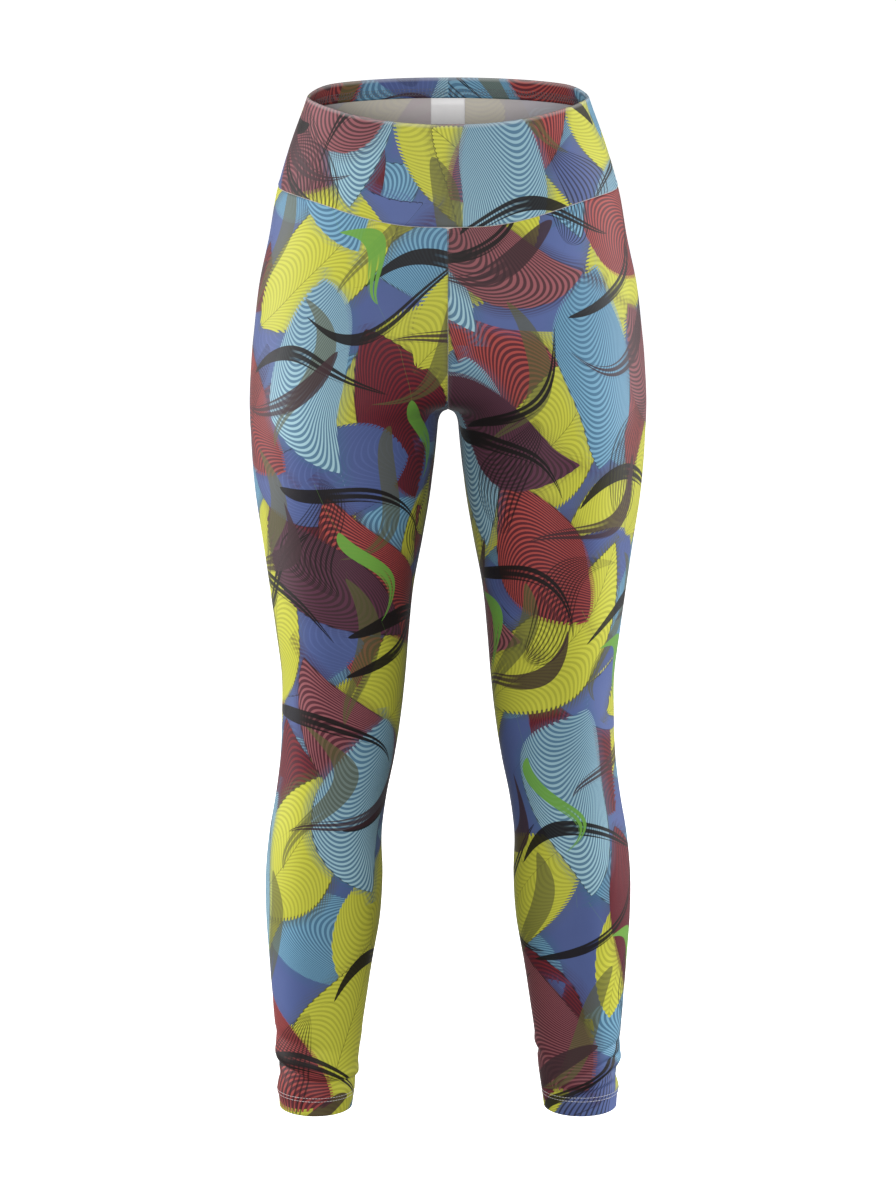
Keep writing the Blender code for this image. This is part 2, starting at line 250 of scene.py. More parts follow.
def creasePush(leg, points):
    _, centre, _, _, _, widest, _ = section(points[..., 2])
    angle = np.degrees(np.arctan2(points[..., 0] - centre, widest - points[..., 1]))
    total = np.zeros(angle.shape)
    for line, slant, middle, spread, above, below, push in creases[leg] + creases["both"]:
        rise = points[..., 2] / mm - (line + slant * np.sin(np.radians(angle)))
        around = (angle - middle + 180) % 360 - 180
        near = np.exp(-((rise / np.where(rise > 0, above, below)) ** 2))
        total += push * mm * near * np.exp(-((around / spread) ** 2))
    return total


def wallPoint(u, height, depth, leg=None, sink=0.0):
    # a point under the outer surface by depth, with the leg's creases
    points = skin(u, height)
    push = creasePush(leg, points) if leg else np.zeros(points.shape[:-1])
    moved = points + outward(points) * (push - depth - sink)[..., None]
    seam = points[..., 0] <= figure["seamGap"]
    moved[..., 0] = np.where(seam, points[..., 0], moved[..., 0])  # seams stay in their plane
    return moved


# Shader maths as expressions
class Field:
    def __init__(self, tree, socket):
        self.tree, self.socket = tree, socket

    def maths(self, operation, *others, first=None):
        node = self.tree.nodes.new("ShaderNodeMath")
        node.operation = operation
        terms = (self, *others) if first is None else (first, self)
        for slot, term in zip(node.inputs, terms):
            feed(self.tree, slot, term)
        return Field(self.tree, node.outputs[0])

    def __add__(self, other):
        return self.maths("ADD", other)

    def __sub__(self, other):
        return self.maths("SUBTRACT", other)

    def __mul__(self, other):
        return self.maths("MULTIPLY", other)

    def __truediv__(self, other):
        return self.maths("DIVIDE", other)

    def __pow__(self, other):
        return self.maths("POWER", other)

    def __rsub__(self, other):
        return self.maths("SUBTRACT", first=other)

    def __gt__(self, other):
        return self.maths("GREATER_THAN", other)

    def __lt__(self, other):
        return self.maths("LESS_THAN", other)

    def __abs__(self):
        return self.maths("ABSOLUTE")

    __radd__, __rmul__ = __add__, __mul__

    def clamped(self):
        field = self.maths("ADD", 0.0)
        field.socket.node.use_clamp = True
        return field


def feed(tree, slot, value):
    if isinstance(value, Field):
        tree.links.new(value.socket, slot)
    else:
        slot.default_value = value


class Nodes:
    def __init__(self, tree):
        self.tree = tree

    def node(self, kind, settings=None, inputs=None, output=0):
        # one node of any kind: its settings, then its sockets' values or links
        node = self.tree.nodes.new(kind)
        for setting, value in (settings or {}).items():
            setattr(node, setting, value)
        for socket, value in (inputs or {}).items():
            feed(self.tree, node.inputs[socket], value)
        return node if output is None else Field(self.tree, node.outputs[output])

    def mix(self, factor, under, over, blend="MIX"):
        settings = {"data_type": "RGBA", "blend_type": blend}
        inputs = {0: factor, 6: colourOf(under), 7: colourOf(over)}
        return self.node("ShaderNodeMix", settings, inputs, 2)

    def parts(self, vector):
        node = self.node("ShaderNodeSeparateXYZ", inputs={0: vector}, output=None)
        return [Field(self.tree, socket) for socket in node.outputs]

    def vector(self, operation, first, second):
        return self.node("ShaderNodeVectorMath", {"operation": operation}, {0: first, 1: second})

    def noise(self, place, scale, detail=2.0, output=0):
        inputs = {"Vector": place, "Scale": scale, "Detail": detail}
        return self.node("ShaderNodeTexNoise", {}, inputs, output)

    def onCut(self):
        # the place on the flat cut, in metres
        return self.node("ShaderNodeUVMap", {"uv_map": "cut"})

    def bump(self, height, strength, distance):
        inputs = {"Height": height, "Strength": strength, "Distance": distance}
        return self.node("ShaderNodeBump", {}, inputs)


class Finish(Nodes):
    def __init__(self, name, **constants):
        self.material = bpy.data.materials.new(name)
        self.material.use_nodes = True
        super().__init__(self.material.node_tree)
        self.shader = self.tree.nodes["Principled BSDF"]
        for socket, value in constants.items():
            self.shader.inputs[socket.replace("_", " ")].default_value = value

    def set(self, socket, value):
        feed(self.tree, self.shader.inputs[socket], value)


def colourOf(value):
    return (*value, 1) if isinstance(value, tuple) else value


def soft(field, width):
    # 0 to 1 over width, centred on field's zero
    return (field / width + 0.5).clamped()


print("materials")
palette = {
    "blue": (0.058, 0.082, 0.205),
    "blueLight": (0.080, 0.112, 0.265),
    "lime": (0.500, 0.500, 0.052),
    "limeDark": (0.330, 0.335, 0.036),
    "crimson": (0.155, 0.018, 0.024),
    "maroon": (0.050, 0.012, 0.020),
    "coral": (0.360, 0.062, 0.052),
    "plum": (0.090, 0.030, 0.052),
    "rose": (0.260, 0.085, 0.095),
    "frost": (0.300, 0.470, 0.530),
    "umber": (0.040, 0.020, 0.024),
    "sky": (0.160, 0.330, 0.455),
    "steel": (0.046, 0.120, 0.200),
    "green": (0.125, 0.300, 0.046),
    "olive": (0.085, 0.085, 0.032),
    "ink": (0.010, 0.008, 0.008),
    # pale tone of the painted highlight along folds and seams, partly the cloth's white base where
    # it stretches
    "whiteBaseAndHighlightTone": (0.650, 0.640, 0.630),
}

# Each layer of the print is a slanting lattice of leaves: the lattice's turn and cell, the
# leaf's half length, half width and arch, its fill and vein colours, and how the veins lie.
leafPrint = {
    "layers": (
        dict(turn=0.40, cell=(202, 138), leaf=(97, 48), arch=18, fill=("sky", "sky"),
             vein="steel", pitch=5.2, share=0.54, lean=0.35, seed=1.3, keep=0.9, rib=0.0,
             shade="steel"),
        dict(turn=-0.95, cell=(216, 145), leaf=(106, 53), arch=21, fill=("lime", "lime"),
             vein="limeDark", pitch=5.4, share=0.42, lean=0.5, seed=4.1, keep=0.95, rib=0.3,
             shade="olive"),
        dict(turn=1.25, cell=(193, 136), leaf=(92, 48), arch=21, fill=("crimson", "coral"),
             vein="maroon", pitch=5.4, share=0.58, lean=0.4, seed=7.7, keep=0.68, rib=0.0,
             shade="maroon"),
        dict(turn=-0.30, cell=(218, 145), leaf=(97, 44), arch=-23, fill=("blue", "blueLight"),
             vein="blueLight", pitch=7.0, share=0.12, lean=0.3, seed=9.2, keep=0.50, rib=0.0,
             shade="blueLight"),
        dict(turn=2.20, cell=(228, 154), leaf=(108, 53), arch=23, fill=("lime", "lime"),
             vein="limeDark", pitch=5.4, share=0.44, lean=0.8, seed=12.9, keep=0.55, rib=0.5,
             shade="olive"),
        dict(turn=0.85, cell=(225, 147), leaf=(92, 44), arch=-18, fill=("coral", "rose"),
             vein="maroon", pitch=5.4, share=0.60, lean=-0.35, seed=15.4, keep=0.45, rib=0.0,
             shade="maroon"),
        dict(turn=-1.60, cell=(218, 143), leaf=(97, 44), arch=21, fill=("sky", "frost"),
             vein="steel", pitch=5.2, share=0.54, lean=0.40, seed=18.8, keep=0.55, rib=0.0,
             shade="steel"),
        dict(turn=-2.50, cell=(239, 161), leaf=(90, 41), arch=23, fill=("plum", "rose"),
             vein="umber", pitch=5.8, share=0.48, lean=0.3, seed=22.3, keep=0.40, rib=0.0,
             shade="umber"),
    ),
    "stagger": 0.37,  # how far each row of cells is shifted
    "swing": 0.5,  # how far a leaf turns in its cell
    "arched": 0.4,  # least part of its arch that a leaf has
    "bend": 30,  # how far its tips swing to opposite sides
    "blade": (0.8, 0.22),  # how pointed a leaf is, and how much fuller at its far end
    "bow": 1.6,  # how the veins curve back from the rib
    "veinEdge": 0.6,  # softness of the veins, as a part of their wave
    "crisp": 0.5,  # softness of every other printed edge
    "comb": (0.35, 0.5),  # where along a leaf its edge starts to fray, and over what length
    "tooth": 1.0,  # how far the veins notch a leaf's edge
    "fringe": 3.4,  # and how far they comb its far end
    "ink": (0.9, 0.4, 0.35),  # outline round a leaf: width, softness, share of leaves without
    "inkCover": 0.8,
    "shade": (13.0, 0.25, 0.75),  # width of the shade round a leaf, its depth and its hatching
    "otherFill": 0.55,  # share of leaves that keep the first fill
    "tone": (0.2, 1.6, 0.35),  # where the fill turns to the vein colour, over what length, how far
    "veinCover": 0.85,
    "sway": 0.036,  # how far the leaves bend away from their lattice
    "swayScale": 6.0,
    "cloudScale": 9.0,  # of the drift between the two ground blues
    # slender strokes, split into strands from where split says, -1 at one tip and 1 at the other
    "strokes": (
        dict(turn=1.9, cell=(160, 108), stem=(74, 9.0, 26), colour="olive", cover=0.72,
             strands=7, gap=0.75, split=0.3, seed=2.6, keep=0.72),
        dict(turn=-1.2, cell=(150, 126), stem=(60, 22.0, 22), colour="ink", cover=0.75,
             strands=34, gap=-0.35, split=-2.0, seed=4.4, keep=0.62),
        dict(turn=0.2, cell=(172, 120), stem=(80, 6.4, 32), colour="ink", cover=0.97,
             strands=7, gap=0.55, split=-0.1, seed=5.5, keep=0.55),
        dict(turn=-0.7, cell=(180, 124), stem=(80, 4.6, -30), colour="ink", cover=0.97,
             strands=6, gap=0.60, split=-0.2, seed=8.3, keep=0.50),
        dict(turn=2.7, cell=(190, 130), stem=(70, 8.0, 24), colour="umber", cover=0.90,
             strands=8, gap=0.50, split=0.1, seed=6.1, keep=0.45),
        dict(turn=1.1, cell=(196, 136), stem=(46, 7.0, 18), colour="green", cover=0.95,
             strands=7, gap=0.70, split=0.2, seed=3.9, keep=0.42),
    ),
    "strokeStagger": 0.41,
    "strokeSwing": 0.6,
    "strokeArched": (0.8, 0.6),  # spread and least part of a stroke's arch
    "strokeBend": 44,
    "strokeThin": 0.4,  # least width that its strands divide
    "strokeBlade": (0.6, 1.2, 0.5),  # how pointed, how full, and how it thins towards its end
}


def latticed(finish, place, layer, stagger, swing):
    # where a point lies in its cell of a slanting lattice, and three chances for that cell
    cellLong, cellWide = (size * mm for size in layer["cell"])
    turned = finish.node("ShaderNodeVectorRotate", {"rotation_type": "Z_AXIS"},
                         {"Vector": place, "Angle": layer["turn"]})
    x, y, _ = finish.parts(turned)
    row = (y / cellWide).maths("FLOOR")
    shifted = x / cellLong + row * stagger + layer["seed"]
    cell = finish.node("ShaderNodeCombineXYZ", {},
                       {0: shifted.maths("FLOOR"), 1: row, 2: layer["seed"]})
    chance = finish.node("ShaderNodeTexWhiteNoise", {"noise_dimensions": "3D"}, {"Vector": cell}, 1)
    first, second, third = finish.parts(chance)
    alongCell = (shifted.maths("FRACT") - 0.5) * cellLong
    acrossCell = ((y / cellWide).maths("FRACT") - 0.5) * cellWide
    local = finish.node("ShaderNodeCombineXYZ", {}, {0: alongCell, 1: acrossCell, 2: 0.0})
    leaning = finish.node("ShaderNodeVectorRotate", {"rotation_type": "Z_AXIS"},
                          {"Vector": local, "Angle": (first - 0.5) * swing})
    x, y, _ = finish.parts(leaning)
    return x, y, first, second, third


def bentRib(x, y, chance, arched, halfLong, arch, bend):
    # how far along a bent rib, from -1 to 1, how open its outline is there, and how far off it
    along = x / halfLong
    taper = (1 - along * along).maths("MAXIMUM", 0.0)
    swung = along * taper * (chance * 2 - 1) * bend
    return along, taper, y - (taper - 0.5) * arched * arch - swung


def leafLayer(finish, place, under, layer):
    halfLong, halfWide = (size * mm for size in layer["leaf"])
    x, y, first, second, third = latticed(finish, place, layer, leafPrint["stagger"],
                                          leafPrint["swing"])
    along, taper, rib = bentRib(x, y, first, second + leafPrint["arched"], halfLong,
                                layer["arch"] * mm, leafPrint["bend"] * mm)
    across = abs(rib) / halfWide
    point, fuller = leafPrint["blade"]
    width = taper ** point * (1 + along * fuller)
    bow = rib * rib * (leafPrint["bow"] / halfWide)
    slant = (abs(rib) if layer["rib"] else rib) * layer["lean"] * 2
    veins = (x + slant - bow) * (2 * math.pi / (layer["pitch"] * mm))
    lines = soft(veins.maths("SINE") - (1 - 2 * layer["share"]), leafPrint["veinEdge"])
    start, length = leafPrint["comb"]
    combed = soft(along - start, length)
    tooth = combed * (leafPrint["fringe"] * mm) + leafPrint["tooth"] * mm
    edge = (width - across) * halfWide - lines * tooth
    kept = third < layer["keep"]
    inside = soft(edge, leafPrint["crisp"] * mm) * kept
    reach, depth, hatching = leafPrint["shade"]
    shade = soft(edge + reach / 2 * mm, reach * mm) * kept * (lines * hatching + depth) * second
    under = finish.mix(shade, under, palette[layer["shade"]])
    fill, otherFill = (palette[colour] for colour in layer["fill"])
    plain = finish.mix(second > leafPrint["otherFill"], fill, otherFill)
    start, length, share = leafPrint["tone"]
    toned = finish.mix(soft(along - start, length) * share, plain, palette[layer["vein"]])
    leaf = finish.mix(lines * leafPrint["veinCover"], toned, palette[layer["vein"]])
    wide, blur, without = leafPrint["ink"]
    outline = soft(wide * mm - edge, blur * mm) * (first > without) * (1 - combed)
    leaf = finish.mix(outline * leafPrint["inkCover"], leaf, palette["ink"])
    if layer["rib"]:
        leaf = finish.mix(soft(blur * mm - abs(rib), blur * mm) * layer["rib"], leaf,
                          palette["ink"])
    return finish.mix(inside, under, leaf)


def strokeLayer(finish, place, under, stroke):
    # slender bent strokes: stalks, shadows of leaves, fine hatching and small bright blades
    halfLong, halfWide, arch = (size * mm for size in stroke["stem"])
    x, y, first, second, third = latticed(finish, place, stroke, leafPrint["strokeStagger"],
                                          leafPrint["strokeSwing"])
    varied, least = leafPrint["strokeArched"]
    along, taper, rib = bentRib(x, y, first, second * varied + least, halfLong, arch,
                                leafPrint["strokeBend"] * mm)
    point, full, thinner = leafPrint["strokeBlade"]
    width = taper ** point * (full - along * thinner) * halfWide
    split = rib / width.maths("MAXIMUM", leafPrint["strokeThin"] * mm) * stroke["strands"]
    strands = (split + along * 2).maths("SINE")
    gaps = soft(strands - stroke["gap"], 0.5) * soft(along - stroke["split"], 0.5)
    crisp = leafPrint["crisp"] * mm
    inside = soft(width - abs(rib), crisp) * (third < stroke["keep"]) * (1 - gaps)
    return finish.mix(inside * stroke["cover"], under, palette[stroke["colour"]])


def printed(finish, layers):
    place = finish.onCut()
    drift = finish.noise(place, leafPrint["swayScale"], 1.0, output=1)
    drift = finish.vector("SUBTRACT", drift, (0.5, 0.5, 0.5))
    swept = finish.node("ShaderNodeVectorMath", {"operation": "SCALE"},
                        {0: drift, "Scale": leafPrint["sway"]})
    place = finish.vector("ADD", place, swept)
    cloud = finish.noise(place, leafPrint["cloudScale"], 3.0)
    colour = finish.mix(cloud, palette["blue"], palette["blueLight"])
    for layer in leafPrint["layers"][:layers]:
        colour = leafLayer(finish, place, colour, layer)
    for stroke in leafPrint["strokes"][:layers - 2]:
        colour = strokeLayer(finish, place, colour, stroke)
    return colour


knit = {
    "wale": 1.1,  # width of one column of loops
    "course": 0.8,  # height of one row of loops
    "waves": (0.3, 0.5),  # part of the rows and of the columns in the relief
    "loopHeight": 0.25 * mm,
    "relief": 0.35,  # strength of the loops' bump outside
    "sheen": 0.08,
    "specular": 0.16,
    "grain": 420.0,  # scale of the uneven roughness
    "rough": (0.50, 0.14),  # roughness, and how much the grain adds
    "crownHighlight": (0.22, (0.75, 0.75, 0.78)),  # painted highlight on the loops' crowns: how far they lighten, and to what
    "innerRelief": 0.4,
    "innerTilt": 0.2,  # how steeply a row runs within a loop
    "innerSheen": 0.25,
    "innerRough": (0.66, 0.10),
    "innerGround": (0.48, 0.44, 0.45),
    # painted highlight on the wrong side's loop crowns: how far they lighten, and to what
    "innerCrownHighlight": (0.10, (0.62, 0.60, 0.61)),
    "ghost": 0.20,  # how strongly the print shows through on the wrong side
    "ghostLayers": 3,
}


def knitRelief(finish, tilt=1.0):
    place = finish.onCut()
    x, y, _ = finish.parts(place)
    column = x / (knit["wale"] * mm)
    side = abs(column.maths("FRACT") - 0.5)
    loops = ((y / (knit["course"] * mm) + side * tilt) * (2 * math.pi)).maths("SINE")
    crown = (column * (2 * math.pi)).maths("COSINE")
    rows, columns = knit["waves"]
    return (loops * rows + crown * columns) * 0.5 + 0.5


def outerKnit():
    finish = Finish("printedKnit", Sheen_Weight=knit["sheen"], Sheen_Roughness=0.30,
                    Sheen_Tint=(1, 1, 1, 1), Specular_IOR_Level=knit["specular"])
    colour = printed(finish, len(leafPrint["layers"]))
    relief = knitRelief(finish)
    grain = finish.noise(finish.onCut(), knit["grain"])
    # painted highlight: the loops' crowns lightened by their relief
    share, light = knit["crownHighlight"]
    colour = finish.mix(relief * share, colour, light, "SOFT_LIGHT")
    # paler along the band's fold and the seams: painted highlight, partly the white base showing
    # where the cloth stretches
    whiteBaseAndHighlight = finish.node("ShaderNodeAttribute", {"attribute_name": "whiteBaseAndHighlight"}, {}, 2)
    colour = finish.mix(whiteBaseAndHighlight, colour, palette["whiteBaseAndHighlightTone"])
    finish.set("Base Color", colour)
    rough, uneven = knit["rough"]
    finish.set("Roughness", grain * uneven + rough)
    finish.set("Normal", finish.bump(relief, knit["relief"], knit["loopHeight"]))
    return finish.material


def innerKnit():
    finish = Finish("wrongSide", Sheen_Weight=knit["innerSheen"], Sheen_Roughness=0.5)
    shown = printed(finish, knit["ghostLayers"])
    colour = finish.mix(knit["ghost"], knit["innerGround"], shown)
    relief = knitRelief(finish, knit["innerTilt"])
    # painted highlight: the wrong side's loop crowns lightened by their relief
    share, light = knit["innerCrownHighlight"]
    finish.set("Base Color", finish.mix(relief * share, colour, light))
    rough, uneven = knit["innerRough"]
    finish.set("Roughness", relief * uneven + rough)
    finish.set("Normal", finish.bump(relief, knit["innerRelief"], knit["loopHeight"]))
    return finish.material


thread = {
    "ply": 900.0,  # scale of its twist
    "sheen": 0.3,
    "rough": (0.5, 0.2),
    "pale": ((0.80, 0.79, 0.78), (0.58, 0.57, 0.57)),
    "dark": ((0.075, 0.075, 0.085), (0.03, 0.03, 0.035)),
}


def threadFinish(name, tones):
    finish = Finish(name, Sheen_Weight=thread["sheen"])
    place = finish.node("ShaderNodeTexCoord", {}, {}, 3)
    ply = finish.noise(place, thread["ply"], 1.0)
    light, shade = tones
    finish.set("Base Color", finish.mix(ply, shade, light))
    rough, uneven = thread["rough"]
    finish.set("Roughness", ply * uneven + rough)
    return finish.material


satin = {
    "warp": 0.45 * mm,
    "weft": 0.6 * mm,
    "sheen": 0.2,
    "relief": 0.3,
    "height": 0.1 * mm,
    "cloud": 60.0,  # scale of the drift between its two tones
    "tones": ((0.62, 0.61, 0.61), (0.70, 0.69, 0.69)),
    # painted highlight on the satin's raised floats: how far they lighten, and to what
    "crownHighlight": (0.2, (0.9, 0.9, 0.9)),
    "rough": (0.36, 0.1),
}


def satinFinish():
    finish = Finish("wovenSatin", Sheen_Weight=satin["sheen"], Specular_IOR_Level=0.5)
    place = finish.onCut()
    x, y, _ = finish.parts(place)
    warp = (x * (2 * math.pi / satin["warp"])).maths("SINE")
    weft = (y * (2 * math.pi / satin["weft"]) + warp).maths("SINE")
    relief = (warp + weft) * 0.25 + 0.5
    tone = finish.mix(finish.noise(place, satin["cloud"]), *satin["tones"])
    # painted highlight: the raised floats lightened by their relief
    share, light = satin["crownHighlight"]
    finish.set("Base Color", finish.mix(relief * share, tone, light))
    rough, uneven = satin["rough"]
    finish.set("Roughness", relief * uneven + rough)
    finish.set("Normal", finish.bump(relief, satin["relief"], satin["height"]))
    return finish.material


rightSide, wrongSide = outerKnit(), innerKnit()
paleThread = threadFinish("paleThread", thread["pale"])
darkThread = threadFinish("darkThread", thread["dark"])

cloth = {
    "wall": 0.9 * mm,
    "fold": 1.2 * mm,  # radius of a turned edge
    "foldRows": 7,
    "groove": 0.6 * mm,  # how far a seam draws the cloth in
    "grooveWidth": 0.9 * mm,
    "weld": 0.02 * mm,  # points closer than this at a joined edge become one
}


def clothSheet(name, points, along, whiteBaseAndHighlight, mirror=1, joined=None):
    # a sheet from a grid of places; along holds each place's position on the flat cut
    rows, columns = points.shape[:2]
    work = bmesh.new()
    bmesh.ops.create_grid(work, x_segments=columns - 1, y_segments=rows - 1, size=1)
    cut = work.loops.layers.uv.new("cut")
    # paleness at each point for the painted highlight along folds and seams, partly the white base
    # where the cloth stretches
    pale = work.verts.layers.float.new("whiteBaseAndHighlight")
    work.verts.ensure_lookup_table()
    spots = {}
    for vert in work.verts:
        column = round((vert.co.x + 1) / 2 * (columns - 1))
        row = rows - 1 - round((vert.co.y + 1) / 2 * (rows - 1))
        spots[vert] = row, column
    for face in work.faces:
        for loop in face.loops:
            loop[cut].uv = along[spots[loop.vert]]
    for vert, spot in spots.items():
        x, y, z = points[spot]
        vert.co = x * mirror, y, z
        vert[pale] = whiteBaseAndHighlight[spot]
    if mirror < 0:
        bmesh.ops.reverse_faces(work, faces=work.faces)
    if joined:
        edges = [v for v, (row, column) in spots.items()
                 if column in (0, columns - 1) and joined(row)]
        bmesh.ops.remove_doubles(work, verts=edges, dist=cloth["weld"])
    mesh = bpy.data.meshes.new(name)
    work.to_mesh(mesh)
    work.free()
    mesh.shade_smooth()
    return intoScene(name, mesh)


def giveWall(piece, thickness, finishes):
    for finish in finishes:
        piece.data.materials.append(finish)
    wall = piece.modifiers.new("wall", "SOLIDIFY")
    wall.thickness, wall.offset = thickness, -1
    wall.material_offset = len(finishes) - 1
    return piece


def distanceAlong(points):
    steps = np.linalg.norm(np.diff(points, axis=1), axis=-1)
    return np.concatenate([np.zeros((len(points), 1)), np.cumsum(steps, axis=1)], axis=1)


legCut = {
    "columns": 104,
    "edgeColumns": (0.0012, 0.0028, 0.0055),  # close columns that draw the seam in
    "rowStep": 3.1 * mm,
    "seamRows": (0, 0.5 * mm, 1.1 * mm, 1.9 * mm),  # depths of the close rows at the waist seam
    "openRows": 3 * mm,  # and where even rows begin
    "crotchStep": 0.5 * mm,
    "spacing": 1.35,  # each row's step, as a multiple of the one nearer the crotch
    "ankle": -905 * mm,  # closer rows below, for the creases
    "ankleStep": 1.4 * mm,
    "hemDepth": 21 * mm,
    "hemRows": 6,
    "pale": (0.05, 0.8 * mm),  # how much and how wide the front and back seams pale: painted highlight, partly the white base showing where the cloth stretches
    "flat": (0.63, 0.965),  # widest and longest of the flat panel, turned hem included
    "area": 0.40,
    "left": (0.31, 0.13),  # place of each leg on the printed cloth
    "right": (-0.47, 0.02),
}


def acrossSteps(count, close):
    even = np.arange(1, count) / count
    return np.concatenate([[0], close, even, 1 - np.array(close[::-1]), [1]])


def closingRows(start, end, step, closest):
    # heights from start to end that close up towards end
    reach = start - end
    rows, gap, place = [], closest, end
    while abs(place - end) < abs(reach):
        rows.append(place)
        place += math.copysign(gap, reach)
        gap = min(gap * legCut["spacing"], step)
    return rows[::-1]


def legRows():
    crotch = crotchHeight()
    top = figure["seamSide"]
    near = [top - drop for drop in legCut["seamRows"]]
    steps = legCut["rowStep"], legCut["crotchStep"]
    above = closingRows(top - legCut["openRows"], crotch, *steps)[:-1]
    below = closingRows(legCut["ankle"], crotch, *steps)[::-1]
    end = figure["hem"] + cloth["fold"]
    ankle = np.arange(below[-1] - legCut["ankleStep"], end, -legCut["ankleStep"])
    outer = np.array([*near, *above, *below, *ankle])
    turn = np.linspace(0, np.pi, cloth["foldRows"])
    radius = cloth["fold"]
    fold = figure["hem"] + radius - radius * np.sin(turn)
    foldDepth = radius * (1 - np.cos(turn))
    inner = np.linspace(figure["hem"] + radius, figure["hem"] + legCut["hemDepth"],
                        legCut["hemRows"] + 1)[1:]
    rows = np.concatenate([outer, fold, inner])
    depths = np.concatenate([np.zeros(len(outer)), foldDepth, np.full(len(inner), 2 * radius)])
    turned = np.concatenate([np.zeros(len(outer)), radius * turn,
                             radius * np.pi + inner - figure["hem"] - radius])
    return rows, depths, turned, crotch


def seamSink(distance):
    return cloth["groove"] * np.exp(-((distance / cloth["grooveWidth"]) ** 2))


def legPlace(u, nominal):
    # rows near the top follow the dip of the waist seam
    fade = np.maximum(1 - (figure["seamSide"] - nominal) / figure["seamFade"], 0)
    return nominal + ((seamHeight(u) - figure["seamSide"]) - figure["seamGap"] / 2) * fade


def makeLeg(name, side, mirror):
    rows, depths, turned, crotch = legRows()
    across = acrossSteps(legCut["columns"], legCut["edgeColumns"])
    u, nominal = np.meshgrid(across, rows)
    height = legPlace(u, nominal)
    depth = np.broadcast_to(depths[:, None], u.shape)
    run = distanceAlong(skin(u, height))
    middle = run[:, len(across) // 2][:, None]
    fromEdge = np.minimum(run, run[:, -1:] - run)
    fromSeam = seamHeight(u) - height
    sink = seamSink(fromEdge) + np.where(turned[:, None] > 0, 0, seamSink(fromSeam))
    points = wallPoint(u, height, depth, side, sink)
    down = np.where(turned[:, None] > 0, figure["hem"] - turned[:, None], height)
    start = legCut[side]
    along = np.stack([(run - middle) * mirror + start[0], down + start[1]], -1)
    # paler along the front and back seams: painted highlight, partly the white base showing where
    # the cloth stretches
    much, wide = legCut["pale"]
    whiteBaseAndHighlight = much * np.exp(-((fromEdge / wide) ** 2)) * (nominal > crotch)
    piece = clothSheet(name, points, along, whiteBaseAndHighlight, mirror,
                       lambda row: rows[row] <= crotch + cloth["weld"])
    giveWall(piece, cloth["wall"], (rightSide, wrongSide))
    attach(piece, "root")
    return piece


print("legs")
legLeft = makeLeg("legClothLeft", "left", 1)
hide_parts("leg_left")
legRight = makeLeg("legClothRight", "right", -1)
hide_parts("leg_right")

bandCut = {
    "columns": 180,
    "rows": 30,
    "seamRows": (0, 0.004, 0.009, 0.016, 0.026),  # shares of the depth, close at the waist seam
    "turned": 20 * mm,
    "turnedRows": 7,
    "swell": (0.35 * mm, 3 * mm, 2.5 * mm),  # push, height and width of the roll over the seam
    "seamPale": 0.45,  # how pale the edge over the waist seam turns: painted highlight, partly the white base showing where the cloth stretches
    # the same painted highlight along the folded top edge, partly the white base where the fold
    # stretches
    "rimPale": 0.26,
    "paleWidth": 0.35 * mm,
    "flat": (0.90, 0.118),  # turned edge included
    "area": 0.090,
    "start": (0.10, 0.52),  # place of the band on the printed cloth
}


def bandHalf(w):
    # w runs from the centre back by the wearer's left side to the centre back again
    u = np.where(w < 0.5, 1 - 2 * w, 2 * w - 1)
    return u, np.where(w < 0.5, 1.0, -1.0)


def makeBand():
    w = np.linspace(0, 1, bandCut["columns"] + 1)
    u, side = bandHalf(w)
    low = seamHeight(u) + figure["seamGap"] / 2
    rim = rimHeight(u)
    radius = cloth["fold"]
    parts = np.concatenate([bandCut["seamRows"], np.linspace(0, 1, bandCut["rows"] + 1)[1:]])
    outer = low + (rim - radius - low) * parts[:, None]
    turn = np.linspace(0, np.pi, cloth["foldRows"])[1:]
    fold = rim - radius + radius * np.sin(turn)[:, None]
    inner = rim - radius - np.linspace(0, bandCut["turned"] - radius,
                                       bandCut["turnedRows"] + 1)[1:, None]
    height = np.concatenate([outer, fold, inner])
    u = np.broadcast_to(u, height.shape)
    depths = np.concatenate([np.zeros(len(outer)), radius * (1 - np.cos(turn)),
                             np.full(len(inner), 2 * radius)])[:, None]
    depths = np.broadcast_to(depths, height.shape)
    sink = np.zeros(height.shape)
    push, lift, wide = bandCut["swell"]
    swell = push * np.exp(-(((outer - low - lift) / wide) ** 2))
    sink[:len(outer)] = seamSink(outer - low) - swell
    points = wallPoint(u, height, depths, None, sink)
    points[..., 0] = np.where((u == 0) | (u == 1), 0, points[..., 0]) * side
    run = distanceAlong(points)
    run = run - run[:, bandCut["columns"] // 2][:, None]
    down = np.concatenate([outer - rim, np.broadcast_to(radius * turn[:, None], fold.shape),
                           rim - inner + radius * (np.pi - 1)])
    along = np.stack([run + bandCut["start"][0], down + bandCut["start"][1]], -1)
    edge = np.concatenate([outer - rim + radius, np.zeros(fold.shape), inner - rim + radius])
    # paler along the folded rim and over the waist seam: painted highlight, partly the white base
    # where the cloth stretches
    pale = bandCut["rimPale"] * np.exp(-((edge / bandCut["paleWidth"]) ** 2))
    pale[:len(outer)] += bandCut["seamPale"] * np.exp(
        -(((outer - low) / bandCut["paleWidth"]) ** 2))
    piece = clothSheet("waistbandCloth", points, along, pale, 1, lambda row: True)
    giveWall(piece, cloth["wall"], (rightSide, wrongSide))
    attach(piece, "root")
    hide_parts("waistband")
    return piece


print("waistband")
band = makeBand()

labelCut = {
    "width": 33 * mm,
    "length": 48 * mm,
    "tucked": 4 * mm,
    "wall": 0.35 * mm,
    "columns": 24,
    "rows": 39,
    "depth": 1.3 * mm,  # where it leaves the turned edge
    "hang": (1 * mm, 6 * mm, 1 * mm),  # drop where it falls free, over what length, and how far
    "curl": (0.8 * mm, 1.2 * mm),  # how far its end curls in, at the middle and more at the sides
    "curlPower": 2.2,
}


